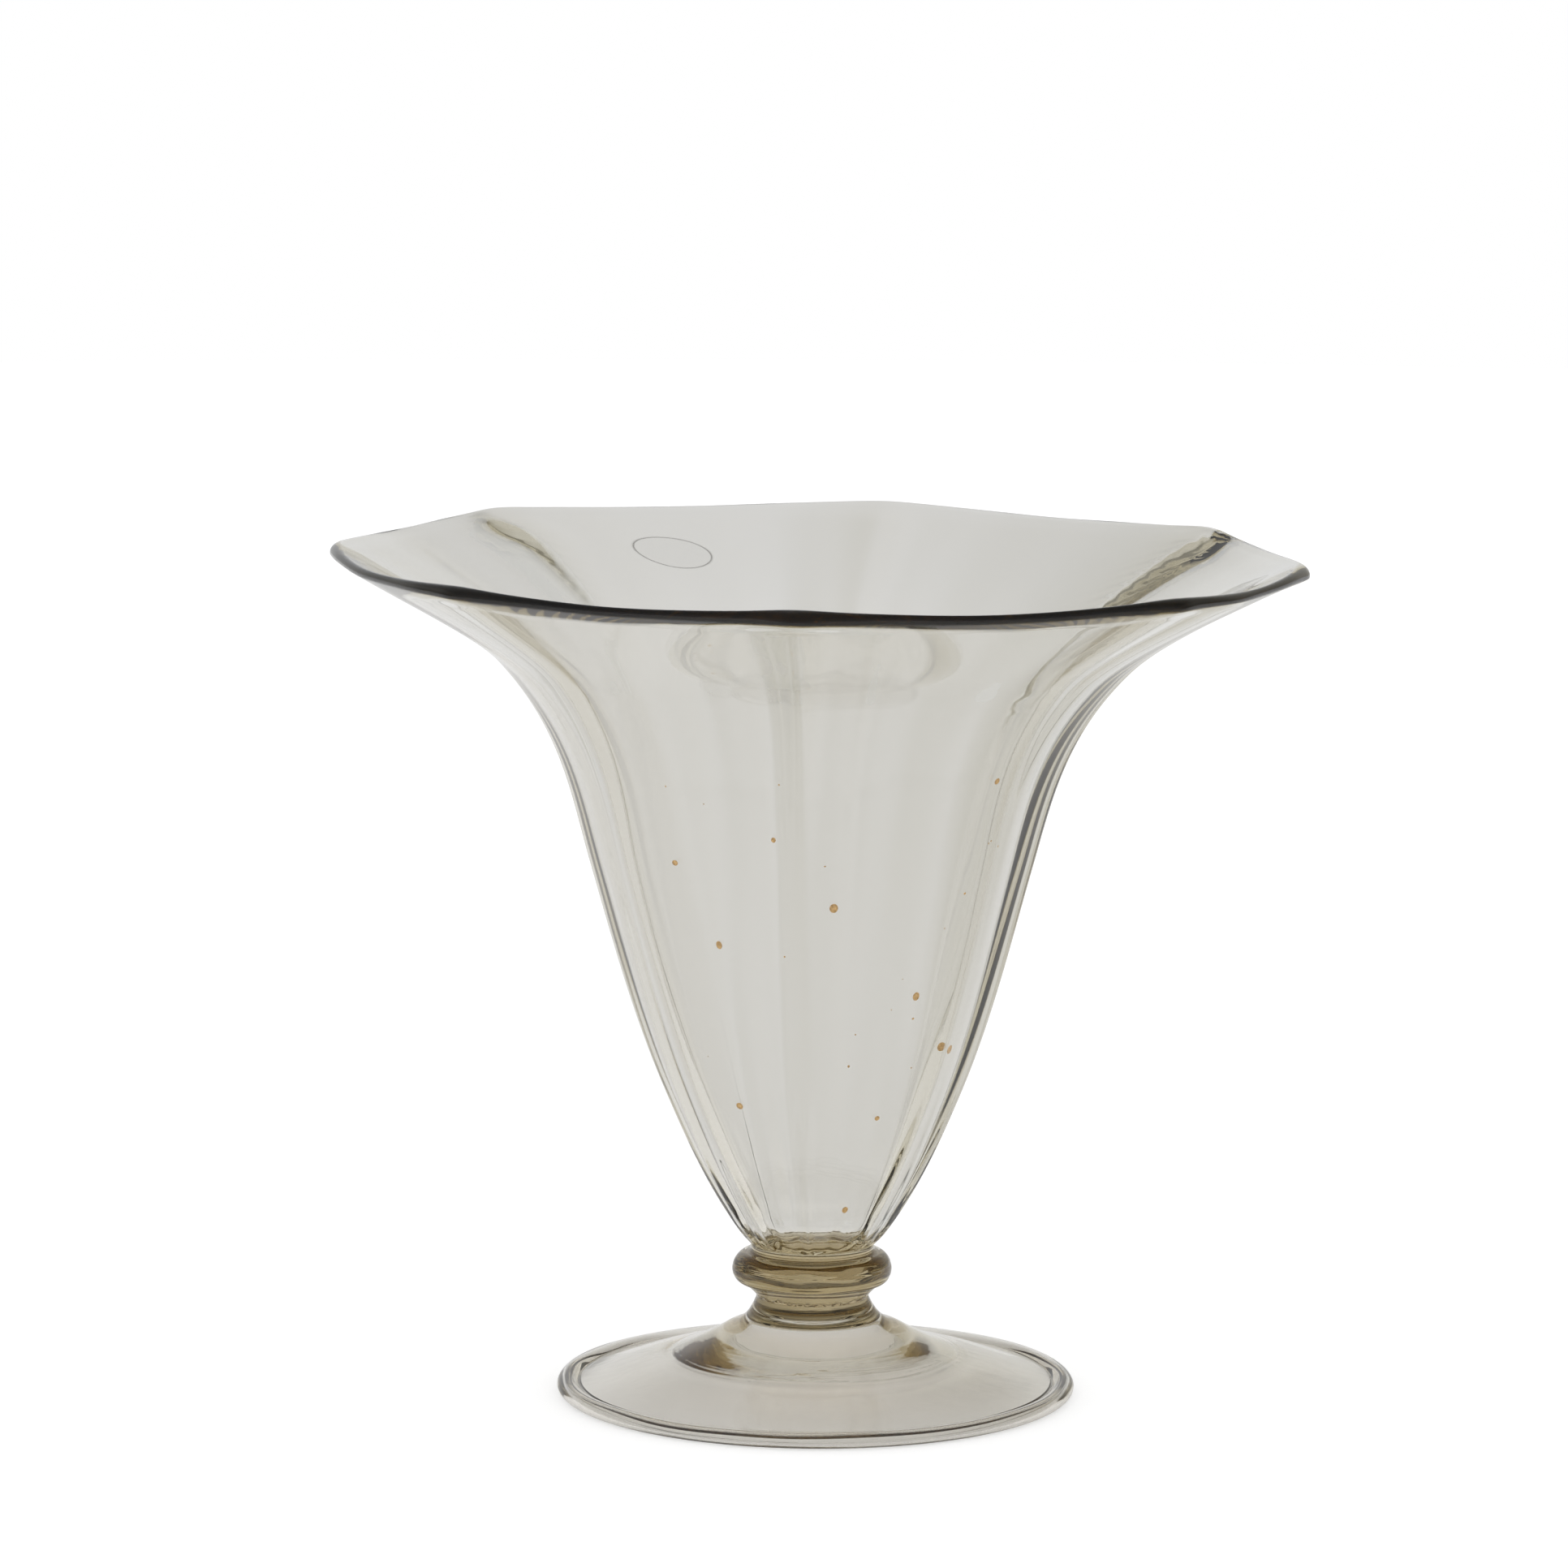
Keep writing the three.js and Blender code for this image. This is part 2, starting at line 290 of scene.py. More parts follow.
# Mesh steps of the bowl, and how far its columns crowd towards the ribs
PANEL_STEPS = 44
COLUMN_CROWDING = 0.75
SEAT_STEPS = 4
WELD_STEPS = 5
BODY_STEPS = 76
FLARE_STEPS = 74
BEAD_STEPS = 15
LIP_STEPS = 14
LIP_ZONE = 0.0016
INNER_FLARE_STEPS = 24
INNER_BODY_STEPS = 38
BOTTOM_STEPS = 12

# Mesh steps of the other pieces
TURN_STEPS = 320
BEARINGS = np.linspace(0, 2 * np.pi, TURN_STEPS, endpoint=False)
OVAL_STEPS = 64
SPECK_ROWS = 7
COLLAR_LOWER_STEPS = 64
COLLAR_UPPER_STEPS = 72
COLLAR_FILLET_STEPS = 14
CONE_STEPS = 40
HOLLOW_STEPS = 108
TUCK_STEPS = 12
FOLD_STEPS = 48
GROOVE_STEPS = 16
DISH_STEPS = 104
CHANNEL_STEPS = 21

# Rows smaller than a spot become one point, and edges bent by more than the sharp angle stay sharp
SPOT_SIZE = 1e-9
SHARP_ANGLE = np.radians(50)

# All glass: colour and index of its surface, and detail of its cords
GLASS_COLOUR = (0.97, 0.97, 0.97, 1)
GLASS_INDEX = 1.5
CORD_DETAIL = 3.0

# Glass of each piece: tint, density, and its cords' waves per metre, stretch along the axis and height
BOWL_GLASS = ((0.72, 0.67, 0.50), 60, 90, 8, 0.000008)
COLLAR_GLASS = ((0.84, 0.77, 0.56), 60, 160, 0.3, 0.00002)
STEM_GLASS = ((0.62, 0.51, 0.22), 60, 160, 0.3, 0.00002)
FOOT_GLASS = ((0.62, 0.51, 0.22), 60, 120, 1, 0.00002)

# Studio seen through the glass and mirrored in it: place from straight down (0) to straight up (1), level
PAPER_LEVELS = [(0.0, 0.6), (0.4, 0.72), (0.47, 0.78), (0.65, 0.78), (0.78, 0.36), (1.0, 0.32)]
MIRRORED_LEVELS = [(0.0, 0.5), (0.45, 0.45), (0.55, 0.45), (0.7, 0.35), (1.0, 0.25)]
COOL_WHITE = np.array([0.99, 1.0, 1.01])
WHITE = (1, 1, 1, 1)

# Studio's sides seen through the glass, from left (0) to right (1)
SIDE_COLOURS = [
    (0.0, (0.35, 0.34, 0.31)), (0.1, (0.75, 0.73, 0.68)), (0.3, (0.9, 0.895, 0.88)),
    (0.47, (1.0, 1.0, 1.0)), (0.495, (1.0, 1.0, 1.0)), (0.51, (0.975, 0.975, 0.97)),
    (0.53, (0.92, 0.915, 0.9)), (0.6, (0.83, 0.82, 0.77)), (0.75, (0.72, 0.69, 0.61)),
    (0.88, (0.5, 0.47, 0.4)), (1.0, (0.3, 0.28, 0.24)),
]

# Half the blend between the studio's front and back, and the diffuse depth of light that lights the floor
FRONT_BLEND = 0.3
LIGHTING_DEPTH = 0.5

# Floor: its size, the air under the resting ring, its paper, and its glow for the camera
FLOOR_RADIUS = 3.0
FLOOR_STEPS = 64
FLOOR_GAP = 0.0002
FLOOR_PAPER = (0.62, 0.62, 0.62, 1)
CAMERA_GLOW = (0.5, 0.5, 0.5, 1)

# Painted pool of light on the floor that glass shows, by distance from the axis in metres, brightest near the
# foot, and the floor's glow that glass mirrors
FLOOR_PAINTED_POOL = [
    (0.0, (0.235, 0.222, 0.215)), (0.05, (0.235, 0.227, 0.215)), (0.07, (0.235, 0.228, 0.22)),
    (0.12, (0.14, 0.14, 0.14)), (0.3, (0.02, 0.02, 0.02)),
]
MIRRORED_FLOOR = (0.1, 0.1, 0.1, 1)

# Painted light that glass shows on top of that, falling off from left (0) to right (1) over twice the span
PAINTED_SLANT_SPAN = 0.5
SLANT_PAINTED_LIGHT = [
    (0.0, (0.15, 0.15, 0.15)), (0.4, (0.14, 0.14, 0.14)), (0.5, (0.13, 0.13, 0.13)),
    (0.53, (0.115, 0.115, 0.112)), (0.58, (0.095, 0.093, 0.083)), (0.7, (0.06, 0.058, 0.04)),
    (1.0, (0.0, 0.0, 0.0)),
]

# The photograph's frame and camera
FRAME_PIXELS = 1932
FOCAL_PIXELS = 9070
SENSOR_WIDTH = 36
CAMERA_DISTANCE = 1.88
CAMERA_HEIGHT = 0.43895
CAMERA_TILT = np.radians(8.44)
CAMERA_TURN = 35.9 / FOCAL_PIXELS
CAMERA_ROLL = np.radians(0.27)
CAMERA_REACH = 50

# Bounces of light in the glass and through its welds
GLASS_BOUNCES = 48
WELD_BOUNCES = 64


def hermite(stations, travel):
    """Cubic between stations of (travel, value, slope): value and slope at each travel.

    Over a span of length h, with t from 0 to 1, the value blends both ends and both slopes by the Hermite
    cubics.
    """
    span = np.clip(np.searchsorted(stations[:, 0], travel, side="right") - 1, 0, len(stations) - 2)
    x0, y0, m0 = np.moveaxis(stations[span], -1, 0)
    x1, y1, m1 = np.moveaxis(stations[span + 1], -1, 0)
    h = x1 - x0
    t = (travel - x0) / h
    value = (2 * t**3 - 3 * t**2 + 1) * y0 + (t**3 - 2 * t**2 + t) * h * m0
    value += (3 * t**2 - 2 * t**3) * y1 + (t**3 - t**2) * h * m1
    slope = (6 * t**2 - 6 * t) * (y0 - y1) / h + (3 * t**2 - 4 * t + 1) * m0 + (3 * t**2 - 2 * t) * m1
    return value, slope


def smooth(share):
    """Smooth step from 0 to 1 of a share that is clipped to that range."""
    share = np.clip(share, 0, 1)
    return share * share * (3 - 2 * share)


def bell(distance, width):
    """Bell curve: 1 at no distance, falling with the square of distance over width."""
    return np.exp(-0.5 * (distance / width) ** 2)


def sway(bearing, travel, seed, turns, waves):
    """Slow unevenness between about -1 and 1 of hot glass.

    It is a sum of seeded cosines, each with a whole number of turns round the axis and up to the given
    number of waves along the travel from 0 to 1.
    """
    draw = np.random.default_rng(seed)
    total = 0
    for turn in turns:
        phase, wave = draw.uniform(0, 2 * np.pi), draw.uniform(-waves, waves)
        total = total + np.cos(turn * bearing + 2 * np.pi * wave * travel + phase)
    return total / np.sqrt(len(turns))


def ellipse_arc(radius, height, width, rise, start, end, steps):
    """Arc of an ellipse in the outline's plane, as rows of (radius, height), from one angle to the other."""
    turn = np.linspace(start, end, steps)
    return np.stack([radius + width * np.cos(turn), height + rise * np.sin(turn)], axis=1)


def line(start, end, steps):
    """Straight run of outline points, without its first."""
    share = np.linspace(0, 1, steps + 1)[1:, None]
    return np.array(start) * (1 - share) + np.array(end) * share


def quadratic(start, middle, end, steps):
    """Quadratic curve of outline points, without its first."""
    t = np.linspace(0, 1, steps + 1)[1:, None]
    return (1 - t) ** 2 * np.array(start) + 2 * (1 - t) * t * np.array(middle) + t**2 * np.array(end)


def crest(share, softness):
    """Corner across a panel: 1 on a rib, 0 midway. It falls as the sine of the way, rounded at the rib."""
    low = np.hypot(1, softness)
    return (low - np.hypot(softness, np.sin(np.pi * share))) / (low - softness)


def shell(grid, welded):
    """Closed shell from a grid of rows that each go round: points, corners of faces, face sizes, and welds.

    A first and last row that lie on a spot become one point each, and otherwise the last row joins the
    first. welded says for each band of faces whether it is a weld.
    """
    rows, columns = grid.shape[:2]
    capped = np.ptp(grid[0], axis=0).max() < SPOT_SIZE
    number = np.arange(rows * columns).reshape(rows, columns)
    if capped:
        number[0] = 0
        number[1:-1] = 1 + np.arange((rows - 2) * columns).reshape(rows - 2, columns)
        number[-1] = 1 + (rows - 2) * columns
        points = np.concatenate([grid[:1, 0], grid[1:-1].reshape(-1, 3), grid[-1:, 0]])
    else:
        number = np.concatenate([number, number[:1]])
        points = grid.reshape(-1, 3)
    low, high = number[:-1], number[1:]
    quads = np.stack([low, np.roll(low, -1, 1), np.roll(high, -1, 1), high], axis=-1)
    bands = np.broadcast_to(np.asarray(welded, dtype=bool)[:, None], quads.shape[:2])
    if capped:
        first, last = quads[0][:, [0, 2, 3]], quads[-1][:, [0, 1, 2]]
        body = quads[1:-1].reshape(-1, 4)
        corners = np.concatenate([first.ravel(), body.ravel(), last.ravel()])
        sizes = np.repeat([3, 4, 3], [len(first), len(body), len(last)])
    else:
        corners = quads.ravel()
        sizes = np.full(quads.shape[0] * quads.shape[1], 4)
    return points, corners, sizes, bands.ravel()


def skin(name, *shells):
    """Mesh of closed shells, each standing as far off the axis as the vase's middle does at its height."""
    starts = np.cumsum([0] + [len(points) for points, *_ in shells])
    points = np.concatenate([points for points, *_ in shells])
    points[:, 0] += hermite(MIDDLE_STATIONS, points[:, 2])[0]
    corners = np.concatenate([shell_corners + start for (_, shell_corners, *_), start in zip(shells, starts)])
    sizes = np.concatenate([shell_sizes for _, _, shell_sizes, _ in shells])
    bands = np.concatenate([shell_bands for *_, shell_bands in shells])
    mesh = bpy.data.meshes.new(name)
    mesh.vertices.add(len(points))
    mesh.vertices.foreach_set("co", points.astype(np.float32).ravel())
    mesh.loops.add(len(corners))
    mesh.loops.foreach_set("vertex_index", corners.astype(np.int32))
    mesh.polygons.add(len(sizes))
    mesh.polygons.foreach_set("loop_start", np.concatenate([[0], np.cumsum(sizes)[:-1]]).astype(np.int32))
    mesh.polygons.foreach_set("use_smooth", np.ones(len(sizes), dtype=bool))
    weld = mesh.attributes.new("weld", "FLOAT", "FACE")
    weld.data.foreach_set("value", bands.astype(np.float32))
    mesh.update(calc_edges=True)
    mesh.validate()
    mesh.set_sharp_from_angle(angle=SHARP_ANGLE)
    piece = bpy.data.objects.new(name, mesh)
    bpy.context.scene.collection.objects.link(piece)
    return piece


def turned(outline, swell=0):
    """Grid of an outline of (radius, height) carried round the axis, with a swell added to the radius."""
    radius = outline[:, 0, None] + swell
    return np.stack([
        radius * np.cos(BEARINGS),
        radius * np.sin(BEARINGS),
        np.broadcast_to(outline[:, 1, None], (len(outline), TURN_STEPS)),
    ], axis=-1)


def dress(piece, node, material):
    """The piece stands for its node, rides on the one body and takes its material."""
    piece.data.materials.append(material)
    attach(piece, "root")
    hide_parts(node)


def new_material(name):
    """New material, and the tree of its nodes."""
    material = bpy.data.materials.new(name)
    material.use_nodes = True
    return material, material.node_tree


def feed(tree, socket, given):
    """Feed a node's input from another node's output, or set it to a value."""
    if isinstance(given, bpy.types.NodeSocket):
        tree.links.new(given, socket)
    else:
        socket.default_value = given


def worked_out(tree, operation, first, second):
    """Number worked out from two others, each an output or a value."""
    node = tree.nodes.new("ShaderNodeMath")
    node.operation = operation
    feed(tree, node.inputs[0], first)
    feed(tree, node.inputs[1], second)
    return node.outputs[0]


def share_between(tree, number, low, high, blend="LINEAR"):
    """How far a number has gone from low (0) to high (1)."""
    node = tree.nodes.new("ShaderNodeMapRange")
    node.interpolation_type = blend
    node.inputs["From Min"].default_value = low
    node.inputs["From Max"].default_value = high
    tree.links.new(number, node.inputs["Value"])
    return node.outputs["Result"]


def graded(tree, place, colours):
    """Colour at a place on a ramp of rows of (place, colour)."""
    node = tree.nodes.new("ShaderNodeValToRGB")
    stops = node.color_ramp.elements
    stops.remove(stops[1])
    stops[0].position = colours[0][0]
    stops[0].color = (*colours[0][1], 1)
    for position, colour in colours[1:]:
        stops.new(position).color = (*colour, 1)
    tree.links.new(place, node.inputs["Fac"])
    return node.outputs["Color"]


def mixed(tree, share, first, second, blend="MIX"):
    """Colour mixed from a first and a second by a share, each an output or a value."""
    node = tree.nodes.new("ShaderNodeMix")
    node.data_type = "RGBA"
    node.blend_type = blend
    feed(tree, node.inputs["Factor"], share)
    feed(tree, node.inputs["A"], first)
    feed(tree, node.inputs["B"], second)
    return node.outputs["Result"]


def axes(tree, vector):
    """The X, Y and Z of a vector."""
    node = tree.nodes.new("ShaderNodeSeparateXYZ")
    tree.links.new(vector, node.inputs[0])
    return node.outputs


def carried(tree, name):
    """Number that the mesh carries as an attribute."""
    node = tree.nodes.new("ShaderNodeAttribute")
    node.attribute_name = name
    return node.outputs["Fac"]


def cords(tree, grain, stretch, wave):
    """Bumped normal from noise on Object coordinates, drawn out along the axis by the stretch."""
    drawn = tree.nodes.new("ShaderNodeMapping")
    drawn.inputs["Scale"].default_value = (1, 1, 1 / stretch)
    tree.links.new(tree.nodes.new("ShaderNodeTexCoord").outputs["Object"], drawn.inputs["Vector"])
    noise = tree.nodes.new("ShaderNodeTexNoise")
    noise.inputs["Scale"].default_value = grain
    noise.inputs["Detail"].default_value = CORD_DETAIL
    tree.links.new(drawn.outputs["Vector"], noise.inputs["Vector"])
    bump = tree.nodes.new("ShaderNodeBump")
    bump.inputs["Distance"].default_value = wave
    tree.links.new(noise.outputs["Fac"], bump.inputs["Height"])
    return bump.outputs["Normal"]


def straw_glass(name, tint, density, grain, stretch, wave):
    """Clear glass that takes up blue more than red. Faces marked as a weld let light straight through.

    Fine cords of the blown glass are a noise bump of that grain (waves per metre) and height, drawn out
    along the axis.
    """
    material, tree = new_material(name)
    tree.nodes.clear()
    output = tree.nodes.new("ShaderNodeOutputMaterial")
    surface = tree.nodes.new("ShaderNodeBsdfPrincipled")
    surface.inputs["Base Color"].default_value = GLASS_COLOUR
    surface.inputs["Roughness"].default_value = 0.0
    surface.inputs["IOR"].default_value = GLASS_INDEX
    surface.inputs["Transmission Weight"].default_value = 1.0
    tree.links.new(worked_out(tree, "SUBTRACT", 1.0, carried(tree, "weld")), surface.inputs["Alpha"])
    absorption = tree.nodes.new("ShaderNodeVolumeAbsorption")
    absorption.inputs["Color"].default_value = (*tint, 1)
    absorption.inputs["Density"].default_value = density
    tree.links.new(surface.outputs["BSDF"], output.inputs["Surface"])
    tree.links.new(absorption.outputs["Volume"], output.inputs["Volume"])
    tree.links.new(cords(tree, grain, stretch, wave), surface.inputs["Normal"])
    return material


def rib_bearing(rise, number):
    """Bearing of a rib at a rise: a parabola through its bearings at three rises, and a hook at the lip."""
    low, middle, top = RIB_RISES
    whole = 2 * np.pi * (number // len(RIB_AT_LIP))
    number = number % len(RIB_AT_LIP)
    at_low = (rise - middle) * (rise - top) / ((low - middle) * (low - top))
    at_middle = (rise - low) * (rise - top) / ((middle - low) * (middle - top))
    at_top = (rise - low) * (rise - middle) / ((top - low) * (top - middle))
    hook = RIB_HOOK[number] * smooth((rise - LIP_RISE + HOOK_RISE) / HOOK_RISE) ** 2
    bend = at_low * RIB_AT_SEAT[number] + at_middle * RIB_HALFWAY[number] + at_top * RIB_AT_LIP[number]
    return whole + bend + hook


def rib_strength(rise, number, lip_share):
    """How strongly a rib stands out: smooth steps from the seat to the throat, and from there to the lip."""
    at_seat, at_throat, at_lip = RIB_STRENGTH[:, number]
    return at_seat + (at_throat - at_seat) * smooth(rise / THROAT_RISE) + (at_lip - at_throat) * lip_share


def rib_section(radius, rise, from_rib, number, lip_share):
    """Half a rib's width, and how far it stands out with its jack marks.

    The marks are a sine of the radius and of the distance from the rib, so that they slant away from it.
    """
    half_width = np.interp(rise, RIB_SECTION[:, 0], RIB_SECTION[:, 1])
    half_width = half_width * (1 + (RIB_WIDTH_AT_LIP[number] - 1) * lip_share)
    proud = np.interp(rise, RIB_SECTION[:, 0], RIB_SECTION[:, 2])
    marks = np.sin(2 * np.pi * (radius / JACK_STEP + np.abs(from_rib) * radius / JACK_SLANT))
    marks = JACK_MARK * JACK_STRENGTH[number] * marks * smooth((rise - JACK_RISE) / JACK_FADE)
    return half_width, proud + marks


def bowl_shape(radius, height, outside, panel, share):
    """Points of the bowl from its outline, the panel, and the share of the way across the panel.

    The outline is the radius and height midway between ribs, and the share of the outer wall. The radius is
    raised towards a rib by a soft corner in proportion to the radius, by the rib's own bell curve, by the
    unevenness of the wall, and low inside by a star. Above the throat the lip's wave, tilt and shift grow
    with the square of the height, and at the lip the corners hang lower outside. The bottom is wavy.
    """
    rise = np.clip(height - SEAT_HEIGHT, 0, LIP_RISE)
    inside = 1 - outside
    start, end = rib_bearing(rise, panel), rib_bearing(rise, panel + 1)
    bearing = start + (end - start) * share
    past_middle = share > 0.5
    from_rib = np.where(past_middle, share - 1, share) * (end - start)
    number = (panel + past_middle) % len(RIB_AT_LIP)
    lip_share = smooth((rise - THROAT_RISE) / (LIP_RISE - THROAT_RISE))
    strength = rib_strength(rise, number, lip_share)
    low_share, high_share = CORNER_SHARE_INSIDE
    corner = outside * crest(share, CORNER_SOFTNESS) + inside * crest(share, CORNER_SOFTNESS_INSIDE)
    inside_share = low_share + (high_share - low_share) * (rise / LIP_RISE) ** 2
    swell = CORNER_RISE * (outside + inside * inside_share) * corner * radius / LIP_RADIUS
    half_width, proud = rib_section(radius, rise, from_rib, number, lip_share)
    swell = swell + outside * strength * proud * bell(from_rib * radius, half_width)
    swell = swell + outside * OUTER_SWAY * sway(bearing, rise / LIP_RISE, *OUTER_PATTERN)
    off_middle = smooth(radius / BOTTOM_EDGE)
    uneven = INNER_SWAY * sway(bearing, rise / LIP_RISE, *INNER_PATTERN)
    swell = swell + inside * uneven * off_middle
    star = BOTTOM_STAR * (crest(share, STAR_SOFTNESS) - 0.5) * bell(rise - BOTTOM_RISE, STAR_RISE)
    swell = swell + inside * star * off_middle
    reach = radius + swell * (inside + outside * smooth((rise - WELD_RISE) / SEAT_BLEND))
    flared = np.clip((rise - THROAT_RISE) / (LIP_RISE - THROAT_RISE), 0, 1) ** 2
    x = reach * np.cos(bearing)
    bump = LIP_WAVE * corner + LIP_BUMP * strength * bell(from_rib, LIP_BUMP_ANGLE)
    z = height + flared * (bump - x * np.tan(LIP_TILT))
    thicker = LIP_CORNER[number] * bell(from_rib, LIP_CORNER_ANGLE)
    z = z - outside * thicker * smooth((rise - LIP_RISE + LIP_CORNER_RISE) / LIP_CORNER_RISE)
    on_bottom = inside * off_middle * smooth(2 - rise / (2 * BOTTOM_RISE))
    z = z + on_bottom * BOTTOM_WAVE * sway(bearing, 0, *BOTTOM_PATTERN)
    return np.stack(np.broadcast_arrays(x + flared * LIP_SHIFT, reach * np.sin(bearing), z), axis=-1)


def outer_wall(rise):
    """Outer wall midway between ribs at each rise: points of (radius, height), tangents, inward normals."""
    radius, flare = hermite(BOWL_STATIONS, rise)
    tangent = np.stack([flare, np.ones_like(flare)], axis=1)
    tangent /= np.linalg.norm(tangent, axis=1, keepdims=True)
    inward = np.stack([-tangent[:, 1], tangent[:, 0]], axis=1)
    return np.stack([radius, SEAT_HEIGHT + rise], axis=1), tangent, inward


def bowl_outline():
    """Outline of the bowl as rows of (radius, height, share of the outer wall), and the bands of its seat.

    It goes from the middle of the seat, up the outer wall, over the lip, and down the inner wall to the
    middle of the bottom. The inner wall is the outer one moved in by the wall's thickness along its normal.
    """
    wall, tangent, inward = outer_wall(np.concatenate([
        np.linspace(0, WELD_RISE, WELD_STEPS, endpoint=False),
        np.linspace(WELD_RISE, JACK_RISE, BODY_STEPS, endpoint=False),
        np.linspace(JACK_RISE, LIP_RISE, FLARE_STEPS),
    ]))
    turn = np.linspace(0, np.pi, BEAD_STEPS)[1:-1, None]
    half = LIP_BEAD / 2
    bead = wall[-1] + inward[-1] * half * (1 - np.cos(turn)) + tangent[-1] * half * np.sin(turn)
    inner_rise = np.concatenate([
        np.linspace(0, JACK_RISE, INNER_BODY_STEPS, endpoint=False),
        np.linspace(JACK_RISE, LIP_RISE - LIP_ZONE, INNER_FLARE_STEPS, endpoint=False),
        np.linspace(LIP_RISE - LIP_ZONE, LIP_RISE, LIP_STEPS),
    ])[::-1]
    backing, _, inner_inward = outer_wall(inner_rise)
    from_lip = np.linalg.norm(backing - wall[-1], axis=1)
    thickness = BOWL_WALL + (BASE_WALL - BOWL_WALL) * smooth(1 - inner_rise / BASE_RISE)
    thickness = thickness + (LIP_BEAD - BOWL_WALL) * smooth(1 - from_lip / BEAD_LENGTH)
    inner = backing + inner_inward * thickness[:, None]
    bottom_height = SEAT_HEIGHT + BOTTOM_RISE
    inner = inner[inner[:, 1] > bottom_height + BOTTOM_FILLET]
    low = inner[-1]
    fillet_corner = (low[0] - BOTTOM_FILLET / 2, bottom_height)
    bottom = quadratic(low, fillet_corner, (low[0] / 2, bottom_height), BOTTOM_STEPS)
    seat = line((0, SEAT_HEIGHT), wall[0], SEAT_STEPS)[:-1]
    parts = [
        (np.array([[0, SEAT_HEIGHT]]), 1),
        (seat, 1),
        (wall, 1),
        (bead, 1 - turn / np.pi),
        (inner, 0),
        (bottom, 0),
        (line(bottom[-1], (0, bottom_height), SEAT_STEPS), 0),
    ]
    rows = [
        np.concatenate([points, np.broadcast_to(outside, (len(points), 1))], axis=1)
        for points, outside in parts
    ]
    return np.concatenate(rows), len(seat) + 1 + WELD_STEPS


def make_bowl(material):
    """The bowl's outline carried round through eight panels, between one rib and the next.

    Columns crowd towards the ribs by a sine of the way across a panel.
    """
    outline, seat_bands = bowl_outline()
    even = np.arange(PANEL_STEPS) / PANEL_STEPS
    share = even - COLUMN_CROWDING * np.sin(2 * np.pi * even) / (2 * np.pi)
    panels = len(RIB_AT_LIP)
    panel = np.repeat(np.arange(panels), PANEL_STEPS)
    radius, height, outside = (outline[:, column, None] for column in range(3))
    grid = bowl_shape(radius, height, outside, panel, np.tile(share, panels))
    grid[0] = 0, 0, SEAT_HEIGHT
    grid[-1] = 0, 0, SEAT_HEIGHT + BOTTOM_RISE
    grid[: seat_bands - WELD_STEPS + 1, :, 2] += WELD_GAP
    welded = np.arange(len(outline) - 1) < seat_bands
    dress(skin("bowl_blown", shell(grid, welded)), "bowl", material)


def on_bowl(bearing, rise, lift):
    """Points on the bowl's outer wall at bearings and rises, lifted off it along the wall's normal."""
    panels = np.arange(len(RIB_AT_LIP))
    starts, ends = rib_bearing(rise[..., None], panels), rib_bearing(rise[..., None], panels + 1)
    share = np.mod(bearing[..., None] - starts, 2 * np.pi) / (ends - starts)
    panel = np.argmin(np.where(share < 1, share, np.inf), axis=-1)
    share = np.take_along_axis(share, panel[..., None], axis=-1)[..., 0]
    radius, flare = hermite(BOWL_STATIONS, rise)
    points = bowl_shape(radius, SEAT_HEIGHT + rise, 1.0, panel, share)
    level = np.hypot(1, flare)
    out = np.stack([np.cos(bearing) / level, np.sin(bearing) / level, -flare / level], axis=-1)
    return points + np.asarray(lift)[..., None] * out


def oval(bearing, rise, half_angle, half_rise, lean, low, high, reach):
    """Thin lens or film on the bowl: rows from its middle on the wall, over its edge, to its middle outside.

    lean is how far it rises towards its end, reach the share of the way out for each row, and low and high
    the lift of both faces.
    """
    turn = np.linspace(0, 2 * np.pi, OVAL_STEPS, endpoint=False)
    out = np.concatenate([reach, reach[::-1]])[:, None]
    lift = np.concatenate([np.broadcast_to(low, reach.shape), np.broadcast_to(high, reach.shape)[::-1]])
    grid = on_bowl(
        bearing + half_angle * out * np.cos(turn),
        rise + out * (half_rise * np.sin(turn) + lean * np.cos(turn)),
        np.broadcast_to(lift[:, None], (len(lift), OVAL_STEPS)),
    )
    return shell(grid, np.zeros(len(grid) - 1, dtype=bool))


def make_sticker():
    """Blank oval sticker on the far flare: clear film with a thin grey edge line.

    Both are set by the way out from its middle, which the mesh carries as an attribute.
    """
    faces = (STICKER_LIFT, STICKER_LIFT + STICKER_FILM)
    film = skin("sticker_blank", oval(*STICKER_PLACE, *STICKER_SIZE, STICKER_LEAN, *faces, STICKER_ROWS))
    out = np.concatenate([STICKER_ROWS, STICKER_ROWS[::-1]])
    values = np.concatenate([out[:1], np.repeat(out[1:-1], OVAL_STEPS), out[-1:]])
    way_out = film.data.attributes.new("way_out", "FLOAT", "POINT")
    way_out.data.foreach_set("value", values.astype(np.float32))
    material, tree = new_material("sticker_film")
    surface = tree.nodes["Principled BSDF"]
    surface.inputs["Base Color"].default_value = STICKER_GREY
    surface.inputs["Roughness"].default_value = STICKER_ROUGHNESS
    edge = graded(tree, carried(tree, "way_out"), [(place, (level,) * 3) for place, level in STICKER_EDGE])
    tree.links.new(edge, surface.inputs["Alpha"])
    tree.links.new(cords(tree, *STICKER_CORDS), surface.inputs["Normal"])
    film.data.materials.append(material)
    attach(film, "root")


